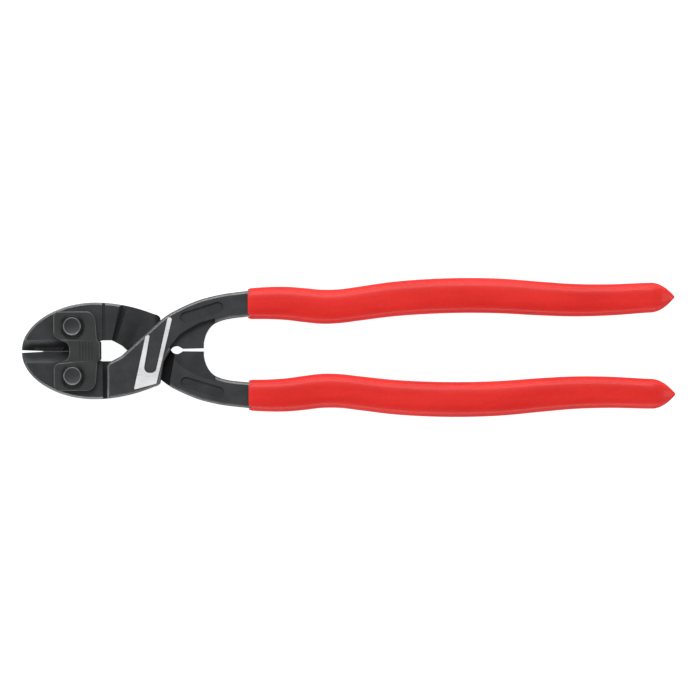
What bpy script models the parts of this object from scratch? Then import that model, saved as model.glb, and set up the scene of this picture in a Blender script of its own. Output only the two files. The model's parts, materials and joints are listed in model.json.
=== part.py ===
"""Compact bolt cutters, 250 mm long, closed.

The tool lies flat. +X runs from the jaw tips to the ends of the handles, +Y to the
upper handle, and +Z out of the front face. Every pivot axis is parallel to Z. The
pieces are drawn in a frame whose X starts at the jaw tips and whose Z starts at the
middle plane, and the empty tool_frame carries it to the part's own origin, under the
middle of the tool. Each lower or back piece is its twin turned over, half a turn
about the long axis.
"""

import math

import bmesh
import bpy
from mathutils import Matrix, Vector

MM = 0.001

# Overall sizes
TOOL_LENGTH = 250 * MM
HEAD_HALF_WIDTH = 18.5 * MM
HEAD_WIDEST_AT = 28 * MM
HEAD_REAR_NARROWING = 9.0  # 1/m: the half width falls off by this times distance squared
NOSE_POWER = 1.95

# Thicknesses
JAW_THICKNESS = 10 * MM
PLATE_THICKNESS = 2.2 * MM
HANDLE_THICKNESS = 11 * MM
BOLT_HEAD_HEIGHT = 1.6 * MM
PANEL_RAISE = 0.3 * MM

# Clearances
REST_GAP = 0.3 * MM  # between faces that lie on each other
BORE_CLEARANCE = 0.08 * MM  # all round a pin in its bore
KEY_ROOT = 0.5 * MM  # how far the key is sunk into its lever
KEY_CLEARANCE = 0.25 * MM  # on each side of a key in its channel
CUT_OVERSHOOT = 3 * MM  # how far a cutter runs past what it cuts

# Jaws and their bolts
BOLT_AT = Vector((19.7 * MM, 9.5 * MM))
BOLT_RADIUS = 3.5 * MM
BOLT_HEAD_RADIUS = 4.65 * MM
BOLT_HEAD_TOP_RADIUS = 3.0 * MM
JAW_REAR = 31 * MM
CUTTING_EDGE_GAP = 0.3 * MM
TIP_SLIT = 1.0 * MM
TIP_SLIT_LENGTH = 8.4 * MM
CUTTING_EDGE_END = 17 * MM
CUTTING_EDGE_LAND = 0.35 * MM
BEVEL_BAND = 4.4 * MM
BEVEL_BAND_END = 20 * MM
BEVEL_BAND_STEP = 0.8 * MM
GROOVE_WIDTH = 1.2 * MM
GROOVE_DEPTH = 0.8 * MM
JAW_EDGE = 0.9 * MM

# Link plates
PLATE_FRONT = 12.5 * MM
PLATE_REAR = 30.3 * MM
PLATE_INSET = 3.3 * MM
PLATE_NOTCH_END = 18.4 * MM
PLATE_EDGE = 0.4 * MM

# Handle joint
PIVOT_AT = Vector((49.2 * MM, 0))
PIVOT_RADIUS = 3.5 * MM
PIVOT_COVER = 1.1 * MM  # metal left over each end of the concealed pin
LEVER_FRONT = 32.5 * MM
WINDOW_HALF_HEIGHT = 4.0 * MM
WINDOW_POINT = Vector((40.4 * MM, 0))
DIAGONAL_END = Vector((57.2 * MM, 14.2 * MM))
SWING_GAP = 0.5 * MM  # between the levers' edges that pass each other
LEVER_EDGE = 1.2 * MM
WEB_THICKNESS = 6.4 * MM

# Key and channel, measured from the jaw bolt: along the line to the main pivot, and across it
TONGUE_REACH = 16 * MM
TONGUE_GAP = 1.7 * MM
RAMP_LENGTH = 6.5 * MM
RAMP_HEIGHT = 2.6 * MM
KEY_START = 12.7 * MM
KEY_WIDTH = 2.0 * MM
KEY_LOW = 2.8 * MM
KEY_LENGTH = 3.0 * MM
KEY_HEIGHT = 3.0 * MM
KEY_TRAVEL = 6.0 * MM

# Grips: share of the grip's length, centre line and half width of the sleeve there
GRIP_START = 86.7 * MM
GRIP_WALL = 0.85 * MM
GRIP_FIT = 0.15 * MM
GRIP_BULGE = 0.25 * MM
GRIP_TIP_LENGTH = 9 * MM
GRIP_TIP_THINNING = 0.55  # share of the depth lost at the very end
GRIP_TIP_NARROWING = 0.94  # and of the width
GRIP_LIP = 0.5 * MM  # how far the mouth is drawn in
GRIP_SECTION_POWER = 3.5
GRIP_SHAPE = [
    (0.000, 17.50 * MM, 5.90 * MM),
    (0.046, 17.70 * MM, 6.16 * MM),
    (0.090, 17.50 * MM, 6.38 * MM),
    (0.131, 16.80 * MM, 6.55 * MM),
    (0.173, 16.10 * MM, 6.55 * MM),
    (0.216, 16.25 * MM, 6.50 * MM),
    (0.258, 17.10 * MM, 6.53 * MM),
    (0.340, 18.75 * MM, 6.64 * MM),
    (0.425, 19.65 * MM, 6.69 * MM),
    (0.510, 19.92 * MM, 6.70 * MM),
    (0.595, 19.55 * MM, 6.66 * MM),
    (0.680, 18.52 * MM, 6.50 * MM),
    (0.765, 17.70 * MM, 6.24 * MM),
    (0.850, 17.70 * MM, 5.98 * MM),
    (0.935, 18.35 * MM, 5.75 * MM),
    (1.000, 18.60 * MM, 5.60 * MM),
]

ROUND_STEPS = 32

HALF_JAW = JAW_THICKNESS / 2
HALF_HANDLE = HANDLE_THICKNESS / 2
HALF_LAP_GAP = REST_GAP / 2
PLATE_BASE = HALF_JAW + REST_GAP
HEAD_BASE = PLATE_BASE + PLATE_THICKNESS + REST_GAP
HEAD_TOP = HEAD_BASE + BOLT_HEAD_HEIGHT
BEYOND = HEAD_TOP + CUT_OVERSHOOT
TANG_END = TOOL_LENGTH - GRIP_TIP_LENGTH - GRIP_WALL
TURN_OVER = Matrix.Rotation(math.pi, 4, "X")


# ---- scene helpers ------------------------------------------------------------


def start_scene():
    """An empty scene, with one collection for the parts and one for what cuts them."""
    for obj in list(bpy.data.objects):
        bpy.data.objects.remove(obj, do_unlink=True)
    for name in ("bolt_cutters", "cutters"):
        made = bpy.data.collections.new(name)
        bpy.context.scene.collection.children.link(made)
    frame = bpy.data.objects.new("tool_frame", None)
    frame.location = (-TOOL_LENGTH / 2, 0, HEAD_TOP)
    bpy.data.collections["bolt_cutters"].objects.link(frame)
    return frame


def paint(name, colour, roughness, metallic):
    material = bpy.data.materials.new(name)
    material.use_nodes = True
    shader = material.node_tree.nodes["Principled BSDF"]
    shader.inputs["Base Color"].default_value = (*colour, 1)
    shader.inputs["Roughness"].default_value = roughness
    shader.inputs["Metallic"].default_value = metallic
    return material


def as_helper(obj):
    """Moves an object to the cutters, where it is neither seen nor rendered."""
    bpy.data.collections["bolt_cutters"].objects.unlink(obj)
    bpy.data.collections["cutters"].objects.link(obj)
    obj.hide_render = True
    obj.display_type = "WIRE"
    return obj


def boolean(obj, operation, other):
    modifier = obj.modifiers.new(f"{operation} {other.name}", "BOOLEAN")
    modifier.operation = operation
    modifier.solver = "EXACT"
    modifier.object = as_helper(other)


def bevel(obj, width, segments=1):
    modifier = obj.modifiers.new("edges", "BEVEL")
    modifier.width = width
    modifier.segments = segments
    modifier.limit_method = "ANGLE"
    modifier.angle_limit = math.radians(35)


def evaluated_mesh(obj):
    bpy.context.view_layer.update()
    graph = bpy.context.evaluated_depsgraph_get()
    return bpy.data.meshes.new_from_object(obj.evaluated_get(graph))


def new_piece(name, mesh, origin):
    obj = bpy.data.objects.new(name, mesh)
    obj.parent = bpy.data.objects["tool_frame"]
    obj.location = origin
    bpy.data.collections["bolt_cutters"].objects.link(obj)
    return obj


# ---- outlines and solids ------------------------------------------------------


def smooth(points, steps):
    """A Catmull-Rom curve through the points, as a list of points."""
    points = [Vector(point) for point in points]
    ends = [2 * points[0] - points[1], *points, 2 * points[-1] - points[-2]]
    curve = []
    for before, start, end, after in zip(ends, ends[1:], ends[2:], ends[3:]):
        for step in range(steps):
            t = step / steps
            curve.append(
                0.5 * (2 * start + (end - before) * t)
                + 0.5 * (2 * before - 5 * start + 4 * end - after) * t**2
                + 0.5 * (3 * start - before - 3 * end + after) * t**3
            )
    return curve + [points[-1]]


def rounded(corners, steps=4):
    """A closed outline through (x, y, radius) corners, each with its own fillet."""
    outline = []
    for index, (x, y, radius) in enumerate(corners):
        corner = Vector((x, y))
        back = (Vector(corners[index - 1][:2]) - corner).normalized()
        ahead = (Vector(corners[(index + 1) % len(corners)][:2]) - corner).normalized()
        half_angle = back.angle(ahead) / 2
        reach = radius / math.tan(half_angle)
        centre = corner + (back + ahead).normalized() * radius / math.sin(half_angle)
        start = corner + back * reach - centre
        turn = start.angle_signed(corner + ahead * reach - centre)
        for step in range(steps + 1):
            outline.append(centre + Matrix.Rotation(-turn * step / steps, 2) @ start)
    return outline


def prism(name, outline, low, high, origin=(0, 0, 0), frame=None):
    """A solid of this outline between two heights. frame maps it to the tool's frame."""
    curve = bpy.data.curves.new(name, "CURVE")
    curve.dimensions = "2D"
    curve.fill_mode = "BOTH"
    curve.extrude = (high - low) / 2
    spline = curve.splines.new("POLY")
    spline.points.add(len(outline) - 1)
    for point, (x, y) in zip(spline.points, outline):
        point.co = (x, y, 0, 1)
    spline.use_cyclic_u = True
    drawn = bpy.data.objects.new(name, curve)
    bpy.data.collections["bolt_cutters"].objects.link(drawn)
    mesh = evaluated_mesh(drawn)
    bpy.data.objects.remove(drawn, do_unlink=True)
    mesh.transform(Matrix.Translation((0, 0, (high + low) / 2)))
    if frame is not None:
        mesh.transform(frame)
    mesh.transform(Matrix.Translation(-Vector(origin)))
    form = bmesh.new()
    form.from_mesh(mesh)
    bmesh.ops.remove_doubles(form, verts=form.verts, dist=0.001 * MM)
    bmesh.ops.dissolve_limit(
        form, angle_limit=math.radians(0.5), verts=form.verts, edges=form.edges
    )
    bmesh.ops.recalc_face_normals(form, faces=form.faces)
    form.to_mesh(mesh)
    form.free()
    return new_piece(name, mesh, origin)


def box(name, low, high, frame=None):
    """A box between two corners, in the tool's frame or in the given one."""
    form = bmesh.new()
    bmesh.ops.create_cube(form, size=1)
    low, high = Vector(low), Vector(high)
    place = Matrix.Translation((low + high) / 2) @ Matrix.Diagonal((*(high - low), 1))
    form.transform(place if frame is None else frame @ place)
    mesh = bpy.data.meshes.new(name)
    form.to_mesh(mesh)
    form.free()
    return new_piece(name, mesh, (0, 0, 0))


def turned(name, profile, centre):
    """A turned solid: (radius, height) points, top to bottom, from axis to axis."""
    mesh = bpy.data.meshes.new(name)
    edges = [(index, index + 1) for index in range(len(profile) - 1)]
    mesh.from_pydata([(radius, 0, height) for radius, height in profile], edges, [])
    obj = new_piece(name, mesh, (centre.x, centre.y, 0))
    screw = obj.modifiers.new("turn", "SCREW")
    screw.steps = ROUND_STEPS
    screw.render_steps = ROUND_STEPS
    screw.use_merge_vertices = True
    screw.merge_threshold = 0.001 * MM
    screw.use_smooth_shade = True
    return obj


def bore(name, radius, low, high, centre):
    return turned(name, [(0, high), (radius, high), (radius, low), (0, low)], centre)


def turned_over(source, name):
    """The twin of a piece, half a turn about the tool's long axis."""
    twin = new_piece(name, evaluated_mesh(source), TURN_OVER @ source.location)
    twin.rotation_euler.x = math.pi
    return twin




def channel_frame():
    """At the upper jaw bolt: X towards the main pivot, Y across it, Z out of the front."""
    along = (PIVOT_AT - BOLT_AT).normalized()
    turn = Matrix.Rotation(math.atan2(along.y, along.x), 4, "Z")
    return Matrix.Translation((*BOLT_AT, 0)) @ turn


def head_edge(x):
    """Half width of the closed head, x from the jaw tips."""
    if x < HEAD_WIDEST_AT:
        share = (HEAD_WIDEST_AT - x) / HEAD_WIDEST_AT
        return HEAD_HALF_WIDTH * (1 - share**NOSE_POWER) ** (1 / NOSE_POWER)
    return HEAD_HALF_WIDTH - HEAD_REAR_NARROWING * (x - HEAD_WIDEST_AT) ** 2


def grip_station(x):
    """(centre, half width, half thickness) of the sleeve at x, before its tip narrows."""
    share = (x - GRIP_START) / (TOOL_LENGTH - GRIP_START)
    shares = [station[0] for station in GRIP_SHAPE]
    index = max(i for i, value in enumerate(shares) if value <= share or i == 0)
    index = min(index, len(GRIP_SHAPE) - 2)
    before = GRIP_SHAPE[max(index - 1, 0)]
    start, end = GRIP_SHAPE[index], GRIP_SHAPE[index + 1]
    after = GRIP_SHAPE[min(index + 2, len(GRIP_SHAPE) - 1)]
    t = (share - start[0]) / (end[0] - start[0])
    values = []
    for column in (1, 2):
        slope_in = (end[column] - before[column]) / (end[0] - before[0])
        slope_out = (after[column] - start[column]) / (after[0] - start[0])
        span = end[0] - start[0]
        values.append(
            (2 * t**3 - 3 * t**2 + 1) * start[column]
            + (t**3 - 2 * t**2 + t) * span * slope_in
            + (3 * t**2 - 2 * t**3) * end[column]
            + (t**3 - t**2) * span * slope_out
        )
    thickness = HALF_HANDLE + GRIP_WALL + GRIP_FIT
    return values[0], values[1], thickness + GRIP_BULGE * math.sin(math.pi * share)


def tang_edges(grow, start, end, count=26):
    """Inner and outer edge of the tang, grown by this much, from start to end."""
    inner, outer = [], []
    for step in range(count + 1):
        x = start + (end - start) * step / count
        centre, half_width, _ = grip_station(x)
        half_width += grow - GRIP_WALL - GRIP_FIT
        inner.append(Vector((x, centre - half_width)))
        outer.append(Vector((x, centre + half_width)))
    return inner, outer


# ---- pieces -------------------------------------------------------------------


def make_jaw():
    """The upper jaw: a slab with a cutting edge, and a tongue on its front half."""
    frame = channel_frame()
    tongue_top = frame @ Vector((TONGUE_REACH, 12.5 * MM, 0))
    across = frame.to_3x3() @ Vector((0, 1, 0))
    drop = (tongue_top.y - WINDOW_HALF_HEIGHT) / across.y
    tongue_foot = tongue_top - across * drop
    steps = 22
    edge = []
    for step in range(steps + 1):
        x = tongue_top.x * (step / steps) ** 1.6
        edge.append((x, max(head_edge(x), TIP_SLIT / 2)))
    outline = edge + [
        (tongue_foot.x, WINDOW_HALF_HEIGHT),
        (JAW_REAR - CUTTING_EDGE_GAP, WINDOW_HALF_HEIGHT),
        (CUTTING_EDGE_END, CUTTING_EDGE_GAP / 2),
        (TIP_SLIT_LENGTH, CUTTING_EDGE_GAP / 2),
    ]
    jaw = prism("upper_jaw", outline, -HALF_JAW, HALF_JAW, origin=(*BOLT_AT, 0))
    bevel(jaw, JAW_EDGE)
    along_x = Matrix(((0, 0, 1, 0), (1, 0, 0, 0), (0, 1, 0, 0), (0, 0, 0, 1)))
    for name, side in (("front", 1), ("back", -1)):
        profile = [
            (-CUT_OVERSHOOT, side * CUTTING_EDGE_LAND),
            (CUTTING_EDGE_GAP / 2, side * CUTTING_EDGE_LAND),
            (BEVEL_BAND, side * (HALF_JAW - BEVEL_BAND_STEP)),
            (BEVEL_BAND, side * BEYOND),
            (-CUT_OVERSHOOT, side * BEYOND),
        ]
        ends = (-CUT_OVERSHOOT, BEVEL_BAND_END)
        boolean(jaw, "DIFFERENCE", prism(f"{name}_band", profile, *ends, frame=along_x))
    rear = (JAW_REAR, -CUT_OVERSHOOT, -BEYOND)
    beside = tongue_top.x + CUT_OVERSHOOT
    wide = HEAD_HALF_WIDTH + CUT_OVERSHOOT
    boolean(jaw, "DIFFERENCE", box("tongue_relief", rear, (beside, wide, HALF_LAP_GAP)))
    groove = box(
        "jaw_groove",
        (JAW_REAR, 0, HALF_JAW - GROOVE_DEPTH),
        (JAW_REAR + GROOVE_WIDTH, wide, BEYOND),
    )
    boolean(jaw, "DIFFERENCE", groove)
    channel = box(
        "key_channel",
        (KEY_START - KEY_CLEARANCE, KEY_LOW - KEY_CLEARANCE, -CUT_OVERSHOOT),
        (
            KEY_START + KEY_WIDTH + KEY_CLEARANCE,
            KEY_LOW + KEY_LENGTH + KEY_TRAVEL,
            KEY_HEIGHT + REST_GAP,
        ),
        frame=frame,
    )
    boolean(jaw, "DIFFERENCE", channel)
    hole = bore("jaw_bore", BOLT_RADIUS + BORE_CLEARANCE, -BEYOND, BEYOND, BOLT_AT)
    boolean(jaw, "DIFFERENCE", hole)
    return jaw


def make_link_plate():
    """A plate over both jaw bolts, notched round the jaws' bevel band."""
    top = HEAD_HALF_WIDTH - PLATE_INSET
    side = [
        (PLATE_NOTCH_END, BEVEL_BAND, 4.2 * MM),
        (PLATE_FRONT, BEVEL_BAND + 0.2 * MM, 2.4 * MM),
        (PLATE_FRONT, top, 2.2 * MM),
        (PLATE_REAR - 1.9 * MM, top, 3.7 * MM),
        (PLATE_REAR - 1.1 * MM, BEVEL_BAND, 0.6 * MM),
        (PLATE_REAR, BEVEL_BAND - 1.2 * MM, 0.6 * MM),
    ]
    other = [(x, -y, radius) for x, y, radius in reversed(side)]
    outline = rounded(side + other)
    plate = prism("front_link_plate", outline, PLATE_BASE, PLATE_BASE + PLATE_THICKNESS)
    bevel(plate, PLATE_EDGE)
    for index, side in enumerate((1, -1)):
        centre = Vector((BOLT_AT.x, side * BOLT_AT.y))
        radius = BOLT_RADIUS + BORE_CLEARANCE
        hole = bore(f"plate_bore_{index + 1}", radius, -BEYOND, BEYOND, centre)
        boolean(plate, "DIFFERENCE", hole)
    return plate


def make_jaw_bolt():
    """A bolt through both plates and the upper jaw, with a conical head on each end."""
    cone = [
        (BOLT_HEAD_TOP_RADIUS, HEAD_TOP),
        (BOLT_HEAD_RADIUS - 0.15 * MM, HEAD_BASE + 0.5 * MM),
        (BOLT_HEAD_RADIUS, HEAD_BASE + 0.3 * MM),
        (BOLT_HEAD_RADIUS, HEAD_BASE),
        (BOLT_RADIUS, HEAD_BASE),
    ]
    below = [(radius, -height) for radius, height in reversed(cone)]
    profile = [(0, HEAD_TOP), *cone, *below, (0, -HEAD_TOP)]
    return turned("upper_jaw_bolt", profile, BOLT_AT)


def lever_outline():
    """The upper lever seen from the front: its tongue, its shoulder and its tang."""
    front = LEVER_FRONT
    tongue = [(front, -head_edge(front))]
    rear_x = PIVOT_AT.x + 1.3 * MM
    for step in range(1, 6):
        x = front + (rear_x - front) * step / 5
        tongue.append((x, -head_edge(x)))
    corner = [(51.9 * MM, -13.5 * MM), (52.9 * MM, -12.6 * MM), (53.1 * MM, -11.6 * MM)]
    eye = [
        (54.4 * MM, -4.2 * MM),
        (57.0 * MM, 0),
        (58.0 * MM, 1.1 * MM),
        (59.6 * MM, 1.5 * MM),
        (60.9 * MM, 0.95 * MM),
        (61.7 * MM, 0.45 * MM),
    ]
    tang_in, tang_out = tang_edges(0, GRIP_START, TANG_END)
    palm = smooth(
        [
            (69.6 * MM, 0.6 * MM),
            (69.8 * MM, 3.4 * MM),
            (71.0 * MM, 6.8 * MM),
            (73.2 * MM, 9.5 * MM),
            (76.4 * MM, 11.05 * MM),
            (80.6 * MM, 11.95 * MM),
            tang_in[0],
        ],
        3,
    )[:-1]
    back = smooth(
        [
            tang_out[0],
            (77.0 * MM, 21.2 * MM),
            (68.8 * MM, 19.3 * MM),
            (62.9 * MM, 17.0 * MM),
            DIAGONAL_END,
            (53.5 * MM, 11.6 * MM),
            (48.0 * MM, 6.7 * MM),
            WINDOW_POINT,
            (38.0 * MM, -2.1 * MM),
            (33.2 * MM, -4.6 * MM),
        ],
        3,
    )[1:]
    corner_top = [(front, -5.8 * MM)]
    return tongue + corner + eye + palm + tang_in + tang_out[::-1] + back + corner_top


def lever_relief(frame):
    """What the upper lever leaves to the lower one: the back half of the joint, less a ramp."""
    wide = HEAD_HALF_WIDTH + CUT_OVERSHOOT
    region = [
        (LEVER_FRONT - CUT_OVERSHOOT, -wide),
        (58.6 * MM, -wide),
        (58.6 * MM, 1.2 * MM),
        (58.2 * MM, 4.2 * MM),
        (56.8 * MM, 11.5 * MM),
        (56.0 * MM, wide),
        (LEVER_FRONT - CUT_OVERSHOOT, wide),
    ]
    relief = prism("joint_relief", region, -BEYOND, HALF_LAP_GAP)
    ramp_start = TONGUE_REACH + TONGUE_GAP
    inside = HALF_LAP_GAP + CUT_OVERSHOOT
    slope = RAMP_LENGTH / (RAMP_HEIGHT + HALF_LAP_GAP)
    profile = [
        (ramp_start, -inside),
        (ramp_start, RAMP_HEIGHT),
        (ramp_start + slope * (RAMP_HEIGHT + inside), -inside),
    ]
    upright = Matrix(((1, 0, 0, 0), (0, 0, -1, 0), (0, 1, 0, 0), (0, 0, 0, 1)))
    ramp = prism("ramp", profile, -2 * wide, 2 * wide, frame=frame @ upright)
    boolean(ramp, "DIFFERENCE", twin_clearance())
    boolean(relief, "DIFFERENCE", ramp)
    return relief


def twin_clearance():
    """The space of the lower lever's diagonal edge, which the ramp keeps out of."""
    start = Vector((WINDOW_POINT.x, -WINDOW_POINT.y))
    end = Vector((DIAGONAL_END.x, -DIAGONAL_END.y))
    along = (end - start).normalized()
    away = Vector((along.y, -along.x)) * SWING_GAP
    start = start + away - along * HEAD_HALF_WIDTH
    end = end + away + along * HEAD_HALF_WIDTH
    region = [start, end, (end.x, start.y)]
    return prism("twin_clearance", region, -2 * BEYOND, 2 * BEYOND)


def make_lever():
    """The upper lever: a tongue under the axis, half a lap joint, a shoulder and a tang."""
    frame = TURN_OVER @ channel_frame()
    lever = prism(
        "upper_lever", lever_outline(), -HALF_HANDLE, HALF_HANDLE, (*PIVOT_AT, 0)
    )
    bevel(lever, LEVER_EDGE, segments=2)
    boolean(lever, "DIFFERENCE", lever_relief(frame))
    web = smooth(
        [
            (56.6 * MM, 1.2 * MM),
            (60.5 * MM, 5.8 * MM),
            (64.3 * MM, 8.3 * MM),
            (68.5 * MM, 10.5 * MM),
            (74.0 * MM, 12.0 * MM),
        ],
        3,
    ) + [(76 * MM, -CUT_OVERSHOOT), (57.6 * MM, -CUT_OVERSHOOT)]
    half_web = WEB_THICKNESS / 2
    for name, low, high in (("front", half_web, BEYOND), ("back", -BEYOND, -half_web)):
        boolean(lever, "DIFFERENCE", prism(f"{name}_web", web, low, high))
    key = box(
        "key",
        (KEY_START, KEY_LOW, -HALF_LAP_GAP - KEY_ROOT),
        (KEY_START + KEY_WIDTH, KEY_LOW + KEY_LENGTH, KEY_HEIGHT),
        frame=frame,
    )
    boolean(lever, "UNION", key)
    panel = rounded(
        [
            (42.9 * MM, -15.0 * MM, 0.4 * MM),
            (51.5 * MM, -12.7 * MM, 0.4 * MM),
            (57.8 * MM, 12.4 * MM, 0.8 * MM),
            (56.1 * MM, 12.6 * MM, 0.8 * MM),
            (51.2 * MM, -8.6 * MM, 2.0 * MM),
            (46.5 * MM, -8.6 * MM, 2.0 * MM),
            (49.2 * MM, 6.2 * MM, 0.5 * MM),
            (47.5 * MM, 5.4 * MM, 0.5 * MM),
        ]
    )
    base = HALF_HANDLE - LEVER_EDGE
    pad = prism("ground_panel", panel, base, HALF_HANDLE + PANEL_RAISE)
    boolean(lever, "UNION", pad)
    reach = HALF_HANDLE - PIVOT_COVER
    hole = bore("pivot_bore", PIVOT_RADIUS + BORE_CLEARANCE, -BEYOND, reach, PIVOT_AT)
    boolean(lever, "DIFFERENCE", hole)
    return lever


def make_pivot_pin():
    end = HALF_HANDLE - PIVOT_COVER - REST_GAP
    chamfer = 0.4 * MM
    top = [(0, end), (PIVOT_RADIUS - chamfer, end), (PIVOT_RADIUS, end - chamfer)]
    bottom = [(radius, -height) for radius, height in reversed(top)]
    return turned("main_pivot_pin", top + bottom, PIVOT_AT)


def make_grip():
    """A sleeve over the tang: rings of a rounded section, then the tang's bore cut out."""
    centre, _, _ = grip_station(GRIP_START)
    origin = Vector((GRIP_START, centre, 0))
    form = bmesh.new()
    rings = []
    stations = 34
    sides = 28
    for step in range(stations + 1):
        share = step / stations
        x = GRIP_START + (TOOL_LENGTH - GRIP_START) * math.sin(share * math.pi / 2)
        middle, half_width, half_depth = grip_station(x)
        along_tip = max(0, x - TOOL_LENGTH + GRIP_TIP_LENGTH) / GRIP_TIP_LENGTH
        half_width *= 1 - GRIP_TIP_NARROWING * along_tip**2
        half_depth *= 1 - GRIP_TIP_THINNING * along_tip**2
        if step == 0:
            half_width -= GRIP_LIP
            half_depth -= GRIP_LIP
        ring = []
        for side in range(sides):
            angle = 2 * math.pi * side / sides
            power = 2 / GRIP_SECTION_POWER
            across = math.copysign(abs(math.cos(angle)) ** power, math.cos(angle))
            depth = math.copysign(abs(math.sin(angle)) ** power, math.sin(angle))
            point = Vector((x, middle + half_width * across, half_depth * depth))
            ring.append(form.verts.new(point - origin))
        rings.append(ring)
        if step == 0:
            continue
        for side in range(sides):
            after = (side + 1) % sides
            form.faces.new((rings[-2][side], rings[-2][after], ring[after], ring[side]))
    form.faces.new(rings[0])
    form.faces.new(rings[-1])
    bmesh.ops.recalc_face_normals(form, faces=form.faces)
    mesh = bpy.data.meshes.new("upper_grip")
    form.to_mesh(mesh)
    form.free()
    grip = new_piece("upper_grip", mesh, origin)
    start = GRIP_START - CUT_OVERSHOOT
    inner, outer = tang_edges(GRIP_FIT, start, TANG_END + GRIP_FIT, 30)
    depth = HALF_HANDLE + GRIP_FIT
    tang_bore = prism("tang_bore", inner + outer[::-1], -depth, depth)
    bevel(tang_bore, LEVER_EDGE, segments=2)
    boolean(grip, "DIFFERENCE", tang_bore)
    return grip


def main():
    start_scene()
    black = paint("black_oxide_steel", (0.045, 0.048, 0.050), 0.42, 0.85)
    bright = paint("bright_steel", (0.55, 0.55, 0.56), 0.3, 1.0)
    red = paint("red_dipped_plastic", (0.76, 0.032, 0.026), 0.28, 0.0)
    twins = [
        (make_jaw(), "lower_jaw", black),
        (make_link_plate(), "back_link_plate", black),
        (make_jaw_bolt(), "lower_jaw_bolt", black),
        (make_lever(), "lower_lever", black),
        (make_grip(), "lower_grip", red),
    ]
    for piece, twin_name, material in twins:
        twin = turned_over(piece, twin_name)
        for obj in (piece, twin):
            obj.data.materials.clear()
            obj.data.materials.append(material)
    make_pivot_pin().data.materials.append(bright)
    for obj in bpy.data.collections["bolt_cutters"].objects:
        if obj.type == "MESH":
            obj.data.shade_smooth()
            obj.data.set_sharp_from_angle(angle=math.radians(30))


main()
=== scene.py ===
"""Compact bolt cutters with red dipped sleeves, lying flat and closed under soft studio light."""

import json
import math

import bmesh
import bpy
from mathutils import Matrix, Vector


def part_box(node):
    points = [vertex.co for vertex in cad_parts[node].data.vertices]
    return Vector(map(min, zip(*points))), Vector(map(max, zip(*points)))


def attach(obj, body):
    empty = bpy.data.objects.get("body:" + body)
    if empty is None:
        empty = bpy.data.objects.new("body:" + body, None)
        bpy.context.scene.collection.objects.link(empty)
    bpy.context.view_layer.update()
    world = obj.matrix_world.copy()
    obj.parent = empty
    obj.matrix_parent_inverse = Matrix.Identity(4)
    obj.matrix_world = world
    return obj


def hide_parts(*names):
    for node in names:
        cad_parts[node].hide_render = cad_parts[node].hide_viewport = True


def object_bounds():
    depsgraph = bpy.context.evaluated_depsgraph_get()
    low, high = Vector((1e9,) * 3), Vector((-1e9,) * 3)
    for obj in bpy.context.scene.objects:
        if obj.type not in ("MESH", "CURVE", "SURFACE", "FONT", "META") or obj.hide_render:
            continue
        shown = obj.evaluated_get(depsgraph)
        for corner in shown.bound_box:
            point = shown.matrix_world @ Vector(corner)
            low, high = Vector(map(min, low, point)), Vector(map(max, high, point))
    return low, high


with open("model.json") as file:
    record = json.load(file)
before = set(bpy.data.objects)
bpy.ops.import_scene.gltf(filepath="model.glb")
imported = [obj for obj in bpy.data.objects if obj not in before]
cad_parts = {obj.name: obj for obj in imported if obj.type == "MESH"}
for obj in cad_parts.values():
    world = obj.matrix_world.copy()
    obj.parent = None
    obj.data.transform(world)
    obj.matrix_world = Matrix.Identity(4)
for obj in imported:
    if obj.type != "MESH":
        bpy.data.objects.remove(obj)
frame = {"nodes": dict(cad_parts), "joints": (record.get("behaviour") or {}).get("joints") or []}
cad_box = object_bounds()


# ---- Where the tool lies --------------------------------------------------------
# The tool is measured from its jaw tips along X and from its middle plane in Z.
# The pivots' places come from the joints, and the two halves are one shape turned over.

MM = 0.001
joints = {joint["name"]: joint for joint in frame["joints"]}
tip = Vector((cad_box[0].x, 0, joints["handle_hinge"]["pos_m"][2]))
main_pivot = Vector(joints["handle_hinge"]["pos_m"]) - tip
jaw_pivot = Vector(joints["upper_jaw_hinge"]["pos_m"]) - tip
tool_length = cad_box[1].x - cad_box[0].x
to_row = Matrix.Translation(tip)
turn_over = to_row @ Matrix.Rotation(math.pi, 4, "X") @ to_row.inverted()


def half_thickness(node):
    """Half the height of a CAD node, which lies evenly about the middle plane."""
    low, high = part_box(node)
    return (high.z - low.z) / 2


# ---- Camera, floor and lights ---------------------------------------------------
# A long lens straight above the tool, turned half a degree, over a white table. A
# broad soft box hangs overhead, and low ones stand along both sides and at both ends.

FIELD_WIDTH = 266.46 * MM
CAMERA_HEIGHT = 2.6
CAMERA_SHIFT = (-0.1 * MM, 0.2 * MM)
CAMERA_TURN = math.radians(-0.54)
TABLE_DROP = 0.2 * MM
SENSOR = 36.0
lens = bpy.data.cameras.new("overhead_lens")
lens.sensor_width = SENSOR
lens.lens = SENSOR * CAMERA_HEIGHT / FIELD_WIDTH
lens.clip_end = 20
camera = bpy.data.objects.new("overhead_camera", lens)
camera.location = (
    tip.x + tool_length / 2 + CAMERA_SHIFT[0],
    CAMERA_SHIFT[1],
    CAMERA_HEIGHT + tip.z,
)
camera.rotation_euler = (0, 0, CAMERA_TURN)
bpy.context.scene.collection.objects.link(camera)
bpy.context.scene.camera = camera

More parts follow.
